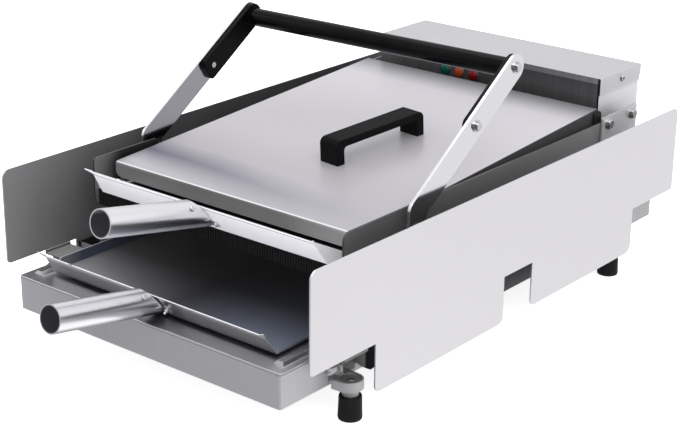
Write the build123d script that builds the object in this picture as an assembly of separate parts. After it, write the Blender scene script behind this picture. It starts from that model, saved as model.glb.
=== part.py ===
from build123d import *
import math
import os

# Double-layer burger bun toaster. Millimetres. X to the right, Y to the back, Z up, floor at Z = 0.
# Everything is laid out from the front of the base (y = 0) and moved at the end so that the origin
# is the bottom centre of the whole object.

# ---------------------------------------------------------------- driving dimensions
BASE_HW = 172.0          # base half width
BASE_L = 649.5           # base length
BASE_Z0 = 36.0           # underside of the base
BASE_Z1 = 71.3           # top of the base
TOP_T = 2.5              # base top plate
SHEET = 1.5              # folded sheet
GUARD_IN = 198.3         # inner face of the side guards
GUARD_OUT = 199.8
GUARD_TOP = 172.2
FOOT_X = 183.8
FOOT_Y = (83.4, 539.0)
FOOT_SLEEVE_R = 11.6
RAIL_Y0, RAIL_Y1 = 13.0, 528.0
PLATEN_LOW_TOP = 74.4
BOX_HW = 151.8           # control box half width, over the cover
BOX_BODY_HW = 150.6
BOX_Y0, BOX_Y1 = 551.9, 636.6
BOX_TOP = 215.4
SIDE_IN, SIDE_OUT = 164.0, 166.0      # side plates of the upper unit
MID_Z0, MID_Z1 = 120.3, 139.5         # upper unit, bottom and top faces
MID_Y0, MID_Y1 = 101.5, 536.0
SIDE_Y0, SIDE_TOP, SIDE_TOP_L = 93.5, 173.3, 170.2
PIVOT_Y, PIVOT_Z = 545.0, 169.8       # hinge of the upper unit
LIDH_Y, LIDH_Z = 533.0, 180.0         # hinge of the lid
LID_HW = 158.7
LID_Y0, LID_Y1 = 121.3, 537.1
LID_ZF, LID_ZB, LID_ZBF = 162.85, 143.0, 146.7   # front top, skirt bottom, front skirt bottom
LID_TILT = 3.33
BAIL_Y, BAIL_Z = 189.85, 150.0        # bail pivot
LINE_Y, LINE_Z = 153.1, 145.3         # a point of the centre line of the slanted part of the arms
BAIL_R = 232.0                        # from that point to the grip
BAIL_ANGLE = 34.56
ARM_IN, ARM_OUT = 173.9, 176.9
ARM_W = 26.7
GRIP_R = 9.8
LEG_IN = 168.4
TRAY_HW = 147.5
TRAY_T = 1.0
TUBE_R, TUBE_BORE = 13.75, 12.3
RUN = 0.05               # running clearance of pins in their holes

NODES = {}


# ---------------------------------------------------------------- helpers
def ring(pts, radii, to3):
    n = len(pts)
    corners = []
    for i in range(n):
        p0, p, p1 = pts[i - 1], pts[i], pts[(i + 1) % n]
        r = radii[i]
        if not r:
            corners.append((p, None, p))
            continue
        a = (p0[0] - p[0], p0[1] - p[1])
        b = (p1[0] - p[0], p1[1] - p[1])
        la, lb = math.hypot(*a), math.hypot(*b)
        a, b = (a[0] / la, a[1] / la), (b[0] / lb, b[1] / lb)
        ang = math.acos(max(-1.0, min(1.0, a[0] * b[0] + a[1] * b[1])))
        t = r / math.tan(ang / 2)
        m = (a[0] + b[0], a[1] + b[1])
        lm = math.hypot(*m)
        m = (m[0] / lm, m[1] / lm)
        c = (p[0] + m[0] * r / math.sin(ang / 2), p[1] + m[1] * r / math.sin(ang / 2))
        corners.append(((p[0] + a[0] * t, p[1] + a[1] * t),
                        (c[0] - m[0] * r, c[1] - m[1] * r),
                        (p[0] + b[0] * t, p[1] + b[1] * t)))
    edges = []
    for i in range(n):
        s = corners[i - 1][2]
        e = corners[i][0]
        if math.hypot(s[0] - e[0], s[1] - e[1]) > 1e-6:
            edges.append(Edge.make_line(to3(*s), to3(*e)))
        if corners[i][1]:
            edges.append(Edge.make_three_point_arc(to3(*corners[i][0]), to3(*corners[i][1]), to3(*corners[i][2])))
    return Face(Wire(edges))


def prism(axis, pts, a0, a1, radii=None):
    radii = radii or [0] * len(pts)
    if axis == "X":
        face = ring(pts, radii, lambda u, v: (a0, u, v))
        d = (a1 - a0, 0, 0)
    elif axis == "Y":
        face = ring(pts, radii, lambda u, v: (u, a0, v))
        d = (0, a1 - a0, 0)
    else:
        face = ring(pts, radii, lambda u, v: (u, v, a0))
        d = (0, 0, a1 - a0)
    return Solid.extrude(face, Vector(*d))


def box(x0, x1, y0, y1, z0, z1):
    return Solid.make_box(x1 - x0, y1 - y0, z1 - z0, Plane((x0, y0, z0)))


def cyl(axis, u, v, r, a0, a1):
    lo, h = min(a0, a1), abs(a1 - a0)
    if axis == "X":
        return Solid.make_cylinder(r, h, Plane(origin=(lo, u, v), z_dir=(1, 0, 0)))
    if axis == "Y":
        return Solid.make_cylinder(r, h, Plane(origin=(u, lo, v), z_dir=(0, 1, 0)))
    return Solid.make_cylinder(r, h, Plane(origin=(u, v, lo), z_dir=(0, 0, 1)))


def hexa(axis, u, v, across, a0, a1, turn=0):
    r = across / 2 / math.cos(math.pi / 6)
    pts = [(u + r * math.cos(math.radians(60 * k + turn)), v + r * math.sin(math.radians(60 * k + turn)))
           for k in range(6)]
    return prism(axis, pts, min(a0, a1), max(a0, a1))


def lathe(pts, x, y, z=0.0, z_dir=(0, 0, 1)):
    edges = []
    for i in range(len(pts)):
        p, q = pts[i - 1], pts[i]
        edges.append(Edge.make_line((p[0], 0, p[1]), (q[0], 0, q[1])))
    body = Solid.revolve(Face(Wire(edges)), 360, Axis.Z)
    return Plane(origin=(x, y, z), z_dir=z_dir).location * body


def fuse(*items):
    out = items[0]
    for s in items[1:]:
        out = out + s
    return out


def cut(base, *tools):
    for t in tools:
        base = base - t
    return base


def mirrored(s):
    return s.mirror(Plane.YZ)


def solids(s):
    if isinstance(s, (list, tuple)):
        found = []
        for k in s:
            found += solids(k)
        return found
    return list(s.solids())


def node(name, *shapes):
    NODES[name] = [k for s in shapes for k in solids(s)]


def serpentine(x_half, y0, y1, runs, z, r, lead_y):
    """One bent heating rod: parallel runs along Y joined by half circles, ends led to the back."""
    step = 2 * x_half / (runs - 1)
    xs = [-x_half + k * step for k in range(runs)]
    edges = [Edge.make_line((xs[0], lead_y, z), (xs[0], y0, z))]
    front = True
    for k in range(runs - 1):
        mx = (xs[k] + xs[k + 1]) / 2
        if front:
            edges.append(Edge.make_three_point_arc((xs[k], y0, z), (mx, y0 - step / 2, z), (xs[k + 1], y0, z)))
            end = lead_y if k == runs - 2 else y1
            edges.append(Edge.make_line((xs[k + 1], y0, z), (xs[k + 1], end, z)))
        else:
            edges.append(Edge.make_three_point_arc((xs[k], y1, z), (mx, y1 + step / 2, z), (xs[k + 1], y1, z)))
            edges.append(Edge.make_line((xs[k + 1], y1, z), (xs[k + 1], y0, z)))
        front = not front
    path = Wire(edges)
    start = Plane(origin=(xs[0], lead_y, z), z_dir=(0, -1, 0))
    return sweep(start * Circle(r), path=path)


def pan_screw(axis, u, v, face, out, head_r, head_h, shank_r, shank_len):
    """Pan head standing on a face at coordinate `face`, pointing along `out` (+1 or -1)."""
    head = cyl(axis, u, v, head_r, face, face + out * head_h)
    edge = [e for e in head.edges() if abs(getattr(e.center(), axis) - (face + out * head_h)) < 1e-6]
    head = head.fillet(head_h * 0.45, edge)
    w = head_r * 0.62
    t = head_r * 0.16
    lo, hi = sorted((face + out * head_h * 0.45, face + out * (head_h + 1)))
    if axis == "X":
        c1 = box(lo, hi, u - w, u + w, v - t, v + t)
        c2 = box(lo, hi, u - t, u + t, v - w, v + w)
    elif axis == "Y":
        c1 = box(u - w, u + w, lo, hi, v - t, v + t)
        c2 = box(u - t, u + t, lo, hi, v - w, v + w)
    else:
        c1 = box(u - w, u + w, v - t, v + t, lo, hi)
        c2 = box(u - t, u + t, v - w, v + w, lo, hi)
    return fuse(cut(head, c1, c2), cyl(axis, u, v, shank_r, face, face - out * shank_len))


def hex_bolt(u, v, face, across, head_h, washer_r, washer_t, shank_r, inner, sign):
    """Hex bolt along X with its washer, head outside of |x| = face, shank to |x| = inner."""
    a, b = sign * face, sign * (face + washer_t)
    c = sign * (face + washer_t + head_h)
    head = hexa("X", u, v, across, b, c, 12)
    dome = cyl("X", u, v, across / 2 * 1.09, min(b, c), max(b, c))
    edge = [e for e in dome.edges() if abs(e.center().X - c) < 1e-6]
    dome = dome.chamfer(head_h * 0.22, None, edge)
    head = head & dome
    return fuse(head, cyl("X", u, v, washer_r, a, b), cyl("X", u, v, shank_r, sign * inner, b))


# ---------------------------------------------------------------- base
walls = cut(box(-BASE_HW, BASE_HW, 0, BASE_L, BASE_Z0, BASE_Z1 - TOP_T),
            box(-BASE_HW + SHEET, BASE_HW - SHEET, SHEET, BASE_L - SHEET, BASE_Z0 - 1, BASE_Z1))
walls = walls.fillet(2.6, [e for e in walls.edges() if abs(abs(e.center().X) - BASE_HW) < 1e-6
                           and abs(e.length - (BASE_Z1 - TOP_T - BASE_Z0)) < 1e-6])
lip_ring = cut(box(-BASE_HW + SHEET, BASE_HW - SHEET, SHEET, BASE_L - SHEET, 37.2, 38.7),
               box(-158.5, 158.5, 13.5, BASE_L - 13.5, 37, 39))
shell = fuse(walls, lip_ring)
screw_xy = [(x, y) for x in (-164.5, 164.5) for y in (30, 225, 425, 620)]
shell = cut(shell, *[cyl("Z", x, y, 1.6, 36.5, 40) for x, y in screw_xy])
# side louvres of the rear half, hidden behind the guards
louvres = [box(s * 173 - 3, s * 173 + 3, y, y + 24, 47 + 6 * k, 49 + 6 * k)
           for s in (-1, 1) for k in range(3) for y in (400, 436)]
shell = cut(shell, *louvres)
bolt_yz = []
for yc, d in ((FOOT_Y[0], 1), (FOOT_Y[1], -1)):
    bolt_yz += [(yc - d * 10.5, 57.5), (yc + d * 8.5, 57.5), (yc + d * 37.5, 57.5)]
shell = cut(shell, *[cyl("X", y, z, 2.5, s * 169, s * 174) for s in (-1, 1) for y, z in bolt_yz])
node("base_shell", shell)

top = box(-BASE_HW, BASE_HW, 0, BASE_L, BASE_Z1 - TOP_T, BASE_Z1)
top = top.fillet(2.6, [e for e in top.edges() if abs(abs(e.center().X) - BASE_HW) < 1e-6 and abs(e.length - TOP_T) < 1e-6])
top = top.chamfer(0.3, None, [e for e in top.edges() if abs(e.center().Z - BASE_Z1) < 1e-6])
top = top.chamfer(0.6, None, [e for e in top.edges() if abs(e.center().Z - BASE_Z1 + TOP_T) < 1e-6])
top = cut(top, prism("Z", [(-60, 578), (60, 578), (60, 622), (-60, 622)], 66, 73, [6] * 4))
node("base_top_plate", top)

cover = box(-BASE_HW + SHEET + 0.1, BASE_HW - SHEET - 0.1, SHEET + 0.1, BASE_L - SHEET - 0.1, BASE_Z0, 37.2)
vents = [prism("Z", [(x - 18, y), (x + 18, y), (x + 18, y + 5), (x - 18, y + 5)], 35, 38, [2.4] * 4)
         for x in (-95, -50, 50, 95) for y in (565, 577, 589, 601, 613)]
cover = cut(cover, *vents, *[cyl("Z", x, y, 1.7, 35, 38) for x, y in screw_xy])
node("base_bottom_cover", cover)
node("base_screws", [pan_screw("Z", x, y, BASE_Z0, -1, 3.4, 1.8, 1.5, 6.0) for x, y in screw_xy])

plat = box(-143, 143, 95, 535, BASE_Z1, PLATEN_LOW_TOP)
plat = plat.chamfer(1.0, None, [e for e in plat.edges() if abs(e.center().Z - PLATEN_LOW_TOP) < 1e-6])
node("lower_platen", plat)
node("lower_heating_elements", serpentine(126, 130, 500, 8, 65.5, 3.25, 560))
node("lower_insulation", box(-150, 150, 92, 548, 37.2, 62.25))

rail_out = [(152.8, BASE_Z1), (164.4, BASE_Z1), (162.0, BASE_Z1 + 3.2), (155.6, BASE_Z1 + 3.2)]
rail = prism("Y", rail_out, RAIL_Y0, RAIL_Y1, [0, 0, 0.5, 0.5])
rail = cut(rail, prism("X", [(RAIL_Y0 - 1, BASE_Z1 + 0.2), (RAIL_Y0, BASE_Z1 + 0.2), (RAIL_Y0 + 2.2, BASE_Z1 + 3.4),
                             (RAIL_Y0 - 1, BASE_Z1 + 3.4)], 150, 167))
node("guide_rails", rail, mirrored(rail))

# ---------------------------------------------------------------- side guards and what carries them
guard_pts = [(7.6, 73.75), (7.6, GUARD_TOP), (644.1, GUARD_TOP), (644.1, 75.5), (557.0, 75.5), (557.0, 25.3),
             (356.5, 25.3), (356.5, 73.7), (306.0, 73.7), (306.0, 24.0), (99.5, 24.0), (99.5, 73.75)]
guard_r = [4.3, 8.6, 8.6, 5.0, 0, 10.0, 7.0, 0, 0, 7.5, 7.0, 0]
guard = prism("X", guard_pts, GUARD_IN, GUARD_OUT, guard_r)
node("guard_right", guard)
node("guard_left", mirrored(guard))


def foot_bracket(yc, d):
    def yy(a, b):
        p, q = yc + d * a, yc + d * b
        return min(p, q), max(p, q)
    side = box(BASE_HW, BASE_HW + SHEET, *yy(-17.0, 19.0), 38.0, BASE_Z1)
    reach = -26.7 if d > 0 else -16.0
    flange = fuse(box(BASE_HW, GUARD_IN, *yy(reach, 6.6), BASE_Z1 - SHEET, BASE_Z1),
                  box(GUARD_IN - SHEET, GUARD_IN, *yy(reach, 6.6), BASE_Z1 - SHEET, 73.7))
    tab = prism("Y", [(178.0, 53.0), (178.0, 70.5), (192.0, 70.5), (192.0, 53.0)], *yy(-22.5, -21.0), [3.0, 0, 0, 3.0])
    pad = prism("Z", [(BASE_HW, yc - 13.6), (FOOT_X, yc - 12.7), (FOOT_X + 11.9, yc - 12.7), (FOOT_X + 11.9, yc + 12.7),
                      (FOOT_X, yc + 12.7), (BASE_HW, yc + 13.6)], 31.0, 40.8, [0, 0, 11.85, 11.85, 0, 0])
    pad = pad.fillet(0.9, [e for e in pad.edges() if abs(e.center().Z - 40.8) < 1e-6 and e.center().X > BASE_HW + 1])
    pad = cut(pad, cyl("Z", FOOT_X, yc, 10.6, 39.2, 42))
    out = fuse(side, flange, tab, pad) if d > 0 else fuse(side, flange, pad)
    out = cut(out, cyl("Z", FOOT_X, yc, 4.0, 30, 41), cyl("Y", 185.0, 60.5, 3.0, *yy(-25, -18)),
              cyl("X", yc - d * 10.5, 57.5, 2.5, 171, 175), cyl("X", yc + d * 8.5, 57.5, 2.5, 171, 175))
    return out


def guard_channel(yc, d):
    """Upright that ties the base to the guard behind each foot."""
    y0, y1 = yc + d * 8.6, yc + d * 47.0
    a, b = min(y0, y1), max(y0, y1)
    w0, w1 = yc + d * 20.6, yc + d * 22.1
    prof = [(BASE_HW, 46.0), (BASE_HW, 69.8), (GUARD_IN, 69.8), (GUARD_IN, 51.0), (190.5, 43.2), (181.0, 43.2)]
    web = prism("Y", prof, min(w0, w1), max(w0, w1), [0, 0, 0, 0, 3.0, 3.0])
    side = [(a, 47.0), (a, 69.8), (b, 69.8), (b, 47.0)]
    inner_a, inner_b = min(w0, y1), max(w0, y1)
    inner = prism("X", [(inner_a, 44.5), (inner_a, 69.8), (inner_b, 69.8), (inner_b, 44.5)], BASE_HW, BASE_HW + SHEET)
    cut_end = [(yc + d * 17.0, 51.5), (yc + d * 17.0, 69.8), (y1, 69.8), (y1, 47.0), (yc + d * 21.0, 47.0)]
    if d < 0:
        cut_end = cut_end[::-1]
    outer = prism("X", cut_end, GUARD_IN - SHEET, GUARD_IN)
    return cut(fuse(web, inner, outer), cyl("X", yc + d * 37.5, 57.5, 2.5, 171, 175))


brk, chan = [], []
for yc, d in ((FOOT_Y[0], 1), (FOOT_Y[1], -1)):
    fb, gc = foot_bracket(yc, d), guard_channel(yc, d)
    brk += [fb, mirrored(fb)]
    chan += [gc, mirrored(gc)]
node("foot_brackets", brk)
node("guard_channels", chan)
bb = []
for y, z in bolt_yz:
    b = fuse(hexa("X", y, z, 8, BASE_HW + SHEET, BASE_HW + SHEET + 3.5), cyl("X", y, z, 2.5, 166, BASE_HW + SHEET),
             hexa("X", y, z, 8, 166.0, BASE_HW - SHEET))
    bb += [b, mirrored(b)]
studs = []
for yc, d in ((FOOT_Y[0], 1),):
    y0 = yc - d * 22.5
    dome = lathe([(0, -2.5), (3.0, -2.5), (3.0, 1.5), (4.7, 1.5), (4.7, 10.2), (4.1, 12.2), (2.5, 13.5), (0, 13.9)],
                 185.0, y0, 60.5, (0, -d, 0))
    wash = cyl("Y", 185.0, 60.5, 7.2, y0, y0 - d * 1.5)
    studs += [fuse(dome, wash)]
studs = [s for st in studs for s in (st, mirrored(st))]
node("bracket_bolts", bb, studs)

caps, rubbers = [], []
for x in (-FOOT_X, FOOT_X):
    for y in FOOT_Y:
        caps.append(lathe([(0, 6), (5.6, 6), (5.6, 22.5), (8.1, 24.0), (8.1, 29.6), (8.8, 30.2), (8.8, 31.0), (4.0, 31.0),
                           (4.0, 39.2), (3.2, 39.2), (3.2, 39.8), (0, 39.8)], x, y))
        rubbers.append(lathe([(0, 0), (9.8, 0), (11.2, 0.7), (FOOT_SLEEVE_R, 2.4), (11.3, 9.0), (10.9, 22.8), (10.4, 24.0),
                              (8.6, 24.0), (8.1, 23.98), (5.6, 22.48), (5.6, 6.0), (0, 6.0)], x, y))
node("foot_caps", caps)
node("foot_rubbers", rubbers)

post = cut(box(164.3, 171.7, 240, 276, BASE_Z1, 120.2), box(165.8, 172, 241.5, 274.5, 70, 118.7))
post = fuse(post, box(164.3, 171.7, 236, 280, BASE_Z1, 72.8))
node("rest_posts", post, mirrored(post))

# ---------------------------------------------------------------- control box
def lamp_x():
    return ((-55.6, 188.8), (-36.0, 189.0), (-16.2, 188.7))


body = cut(box(-BOX_BODY_HW, BOX_BODY_HW, BOX_Y0, BOX_Y1, BASE_Z1, 214.2),
           box(-BOX_BODY_HW + SHEET, BOX_BODY_HW - SHEET, BOX_Y0 + SHEET, BOX_Y1 - SHEET, BASE_Z1 + SHEET, 216))
body = cut(body, box(-120, 120, 572, 626, 70, 74))
for x, z in lamp_x():
    body = cut(body, cyl("Y", x, z, 6.3, BOX_Y0 - 1, BOX_Y0 + 3))
GLAND_X, GLAND_Z = 100.0, 100.0
SW_X, SW_Z = -95.0, 150.0
body = cut(body, cyl("Y", GLAND_X, GLAND_Z, 8.0, BOX_Y1 - 3, BOX_Y1 + 1),
           box(SW_X - 9.6, SW_X + 9.6, BOX_Y1 - 3, BOX_Y1 + 1, SW_Z - 14.6, SW_Z + 14.6))
body = cut(body, *[prism("Y", [(x - 15, z), (x + 15, z), (x + 15, z + 3), (x - 15, z + 3)], BOX_Y1 - 3, BOX_Y1 + 1, [1.4] * 4)
                   for x in (-20, 20, 60) for z in (150, 158, 166, 174, 182)])
body = cut(body, *[cyl("X", 598.0, 207.2, 2.0, s * 147, s * 152) for s in (-1, 1)])
node("control_box_shell", body)

lid_box = cut(box(-BOX_HW, BOX_HW, BOX_Y0, 639.0, 196.5, BOX_TOP),
              box(-BOX_BODY_HW, BOX_BODY_HW, BOX_Y0 - 1, 637.8, 190, 214.2))
lid_box = lid_box.fillet(1.1, [e for e in lid_box.edges() if abs(abs(e.center().X) - BOX_HW) < 1e-6
                               and abs(e.center().Z - BOX_TOP) < 1e-6])
lid_box = cut(lid_box, *[cyl("X", 598.0, 207.2, 2.2, s * 149, s * 153) for s in (-1, 1)],
              box(-BOX_HW - 1, BOX_HW + 1, 637.0, 640, 190, 203.0))
node("control_box_cover", lid_box)
node("box_cover_screws", [pan_screw("X", 598.0, 207.2, s * BOX_HW, s, 3.8, 2.2, 1.95, 9.0) for s in (-1, 1)])

bez = []
for (x, z), nm in zip(lamp_x(), ("green", "orange", "red")):
    lens = lathe([(0, -24.0), (6.2, -24.0), (6.2, 1.0), (5.8, 2.0), (4.7, 3.0), (2.7, 3.7), (0, 3.9)], x, BOX_Y0, z, (0, -1, 0))
    node("lamp_" + nm, lens)
    ringb = lathe([(6.25, 0), (7.2, 0), (7.2, 0.4), (6.8, 1.0), (6.25, 1.0)], x, BOX_Y0, z, (0, -1, 0))
    nut = cut(hexa("Y", x, z, 16, BOX_Y0 + SHEET, BOX_Y0 + SHEET + 3), cyl("Y", x, z, 6.25, BOX_Y0, BOX_Y0 + 8))
    bez += [ringb, nut]
node("lamp_bezels", bez)

term = box(-46, 6, 582, 604, BASE_Z1, 94)
term = cut(term, *[cyl("Z", -40 + 13 * k, 587.5, 3.4, 86, 95) for k in range(4)],
           *[cyl("Z", -40 + 13 * k, 598.5, 3.4, 86, 95) for k in range(4)],
           *[box(-34.2 + 13 * k, -32.8 + 13 * k, 581, 605, 84, 95) for k in range(3)])
node("terminal_block", term)
cont = fuse(box(64, 108, 560, 600, BASE_Z1 + SHEET, 142), box(70, 102, 600, 616, 84, 130))
cont = cut(cont, *[box(68 + 13 * k, 76 + 13 * k, 559, 568, 130, 143) for k in range(3)],
           *[box(68 + 13 * k, 76 + 13 * k, 559, 568, 70, 84) for k in range(3)])
node("contactor", cont)
th = []
for x in (-120, -88):
    th.append(fuse(lathe([(0, 0), (11, 0), (11, 9), (8, 12), (0, 12)], x, BOX_Y0 + SHEET, 120, (0, 1, 0)),
                   box(x - 14, x + 14, BOX_Y0 + SHEET, BOX_Y0 + SHEET + 1.2, 116, 124),
                   box(x - 6, x - 3, BOX_Y0 + 12, BOX_Y0 + 22, 119, 124), box(x + 3, x + 6, BOX_Y0 + 12, BOX_Y0 + 22, 119, 124)))
node("thermostats", th)

gl = fuse(hexa("Y", GLAND_X, GLAND_Z, 22, BOX_Y1, BOX_Y1 + 5), cyl("Y", GLAND_X, GLAND_Z, 8.0, BOX_Y1 - 9, BOX_Y1),
          hexa("Y", GLAND_X, GLAND_Z, 22, BOX_Y1 - SHEET - 4, BOX_Y1 - SHEET))
gl = fuse(gl, lathe([(0, 0), (9.6, 0), (9.6, 7.0), (8.2, 11.5), (0, 11.5)], GLAND_X, BOX_Y1 + 5, GLAND_Z, (0, 1, 0)))
node("cord_gland", cut(gl, cyl("Y", GLAND_X, GLAND_Z, 4.6, BOX_Y1 - 12, BOX_Y1 + 20)))

fr = cut(fuse(box(SW_X - 11.5, SW_X + 11.5, BOX_Y1, BOX_Y1 + 2.0, SW_Z - 17, SW_Z + 17),
              box(SW_X - 9.6, SW_X + 9.6, BOX_Y1 - 24, BOX_Y1, SW_Z - 14.6, SW_Z + 14.6)),
         box(SW_X - 7.9, SW_X + 7.9, BOX_Y1 - 14, BOX_Y1 + 3, SW_Z - 13.0, SW_Z + 13.0))
SW_PY = BOX_Y1 - 4.6
fr = cut(fr, cyl("X", SW_PY, SW_Z, 1.5, SW_X - 9.0, SW_X + 9.0))
node("switch_frame", fr)
rk = prism("X", [(SW_PY - 5.0, SW_Z - 6.0), (SW_PY + 7.6, SW_Z - 11.6), (SW_PY + 4.9, SW_Z), (SW_PY + 7.6, SW_Z + 11.6),
                 (SW_PY - 5.0, SW_Z + 6.0)], SW_X - 7.5, SW_X + 7.5, [1.0, 1.0, 0, 1.0, 1.0])
rk = fuse(rk, cyl("X", SW_PY, SW_Z, 1.5 - RUN, SW_X - 8.8, SW_X + 8.8))
rk = rk.rotate(Axis((SW_X, SW_PY, SW_Z), (1, 0, 0)), -7.0)
node("switch_rocker", rk)

# ---------------------------------------------------------------- hinge brackets beside the box
FIX_Y, FIX_Z = 594.8, 170.2
hb = prism("X", [(532.8, BASE_Z1), (532.8, 178.9), (606.0, 180.0), (606.0, BASE_Z1)], 166.5, 168.5, [0, 1.2, 2.6, 0])
hb = fuse(hb, box(152.1, 166.5, 604.0, 605.5, BASE_Z1, 166.0), box(BOX_BODY_HW, 152.1, 560.0, 605.5, BASE_Z1, 166.0),
          box(152.1, 166.5, 534.0, 604.0, BASE_Z1, 72.8), box(165.0, 166.5, 583.0, 604.0, BASE_Z1, 178.0))
hb = cut(hb, cyl("X", PIVOT_Y, PIVOT_Z, 3.0, 166, 169), cyl("X", FIX_Y, FIX_Z, 3.0, 150, 169))
node("hinge_bracket_right", hb)
node("hinge_bracket_left", mirrored(hb))
piv = [hex_bolt(PIVOT_Y, PIVOT_Z, 168.5, 10, 3.8, 5.8, 0.8, 3.0, 163.1, s) for s in (-1, 1)]
fix = [fuse(hex_bolt(FIX_Y, FIX_Z, 168.5, 10, 3.8, 5.8, 0.8, 3.0, 160.6, s),
            hexa("X", FIX_Y, FIX_Z, 10, s * 161.6, s * 165.0)) for s in (-1, 1)]
node("hinge_bolts", piv, fix)

# ---------------------------------------------------------------- upper heated unit
STOP_B = (206.25, 155.0)
STOP_F = (189.8, 132.5)


def side_plate(outline, radii):
    plate = prism("X", outline, SIDE_IN, SIDE_OUT, radii)
    return cut(plate, cyl("X", PIVOT_Y, PIVOT_Z, 3.0 + RUN, 163, 167), cyl("X", BAIL_Y, BAIL_Z, 4.0, 163, 167),
               cyl("X", STOP_B[0], STOP_B[1], 2.0, 163, 167), cyl("X", STOP_F[0], STOP_F[1], 2.0, 163, 167))


node("side_plate_right", side_plate(
    [(SIDE_Y0, MID_Z0), (SIDE_Y0, SIDE_TOP), (537.4, SIDE_TOP), (541.0, 178.0), (556.0, 178.0), (556.0, MID_Z0)],
    [9.0, 9.0, 2.0, 2.0, 6.0, 9.0]))
node("side_plate_left", mirrored(side_plate(
    [(SIDE_Y0 + 4.5, MID_Z0), (SIDE_Y0 + 4.5, SIDE_TOP_L), (186.5, SIDE_TOP_L), (190.5, 161.0), (352.0, 161.0), (362.0, SIDE_TOP),
     (537.4, SIDE_TOP), (541.0, 178.0), (556.0, 178.0), (556.0, MID_Z0)],
    [9.0, 3.5, 2.5, 5.0, 5.0, 2.5, 2.0, 2.0, 6.0, 9.0])))

mp = box(-SIDE_IN, SIDE_IN, 104.0, 530.5, MID_Z0 + 0.2, 128.5)
node("middle_platen", mp)
terminals = [lathe([(0, 0), (5.2, 0), (5.2, 2.0), (3.6, 2.0), (3.6, 9.0), (2.0, 9.0), (2.0, 14.0), (0, 14.0)],
                   sx * 140, MID_Y1, 131.75, (0, 1, 0)) for sx in (-1, 1)]
node("middle_heating_elements", serpentine(140, 140, 495, 8, 131.75, 3.25, 530), terminals)
pitch = 3.2
comb = [(-SIDE_IN, 104.0), (-SIDE_IN, 102.4)]
k = 0
x = -SIDE_IN + 2.0
while x + 1.6 < SIDE_IN - 1.0:
    comb += [(x, 102.4), (x, MID_Y0), (x + 1.6, MID_Y0), (x + 1.6, 102.4)]
    x += pitch
comb += [(SIDE_IN, 102.4), (SIDE_IN, 104.0)]
node("middle_front_bar", prism("Z", comb, MID_Z0, 137.5))
node("middle_top_sheet", box(-SIDE_IN, SIDE_IN, MID_Y0, MID_Y1, 137.5, MID_Z1))
rb = box(-SIDE_IN, SIDE_IN, 530.5, MID_Y1, MID_Z0, 137.5)
rb = cut(rb, *[cyl("Y", sx * 140, 131.75, 3.3, 529, 537) for sx in (-1, 1)])
node("middle_rear_bar", rb)
ear = prism("X", [(522.0, MID_Z1), (541.0, MID_Z1), (539.0, 185.9), (527.0, 185.9)], 160.5, 162.5, [0, 0, 5.9, 5.9])
ear = cut(fuse(ear, box(154.5, 162.5, 524.0, 535.5, MID_Z1, 141.0)), cyl("X", LIDH_Y, LIDH_Z, 3.0, 159, 164))
node("lid_hinge_ears", ear, mirrored(ear))
lp = lathe([(0, 0), (2.4, 0), (3.0, 0.6), (3.0, 7.6), (2.4, 8.2), (0, 8.2)], 155.2, LIDH_Y, LIDH_Z, (1, 0, 0))
node("lid_hinge_pins", lp, mirrored(lp))
pads = [box(s * 159 - 3.6, s * 159 + 3.6, y, y + 14, MID_Z1, 142.9) for s in (-1, 1) for y in (150, 420)]
gr = [box(s * 150.6 - 2, s * 150.6 + 2, 126, 515, MID_Z1, 142.2) for s in (-1, 1)]
node("upper_guides", pads, gr)

bp = []
for s in (-1, 1):
    b = lathe([(0, -2.0), (4.0, -2.0), (4.0, 0), (8.0, 0), (8.0, 7.7), (5.0, 7.7), (5.0, 11.1), (8.6, 11.1), (8.6, 13.0),
               (7.6, 14.2), (0, 14.2)], s * SIDE_OUT, BAIL_Y, BAIL_Z, (s, 0, 0))
    bp.append(cut(b, hexa("X", BAIL_Y, BAIL_Z, 6.0, s * (SIDE_OUT + 11.5), s * (SIDE_OUT + 15))))
node("bail_pivot_bolts", bp)
stp = []
for s in (-1, 1):
    for y, z in (STOP_B, STOP_F):
        stp.append(lathe([(0, -2.0), (2.0, -2.0), (2.0, 0), (3.0, 0), (3.0, 10.6), (2.4, 11.2), (0, 11.2)],
                         s * SIDE_OUT, y, z, (s, 0, 0)))
node("bail_stop_pins", stp)

# ---------------------------------------------------------------- bail
HALF = ARM_W / 2
D_LOW = 153.4
BAIL_DROP = 4.1          # the left end of the grip hangs this much lower than the right one


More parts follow.
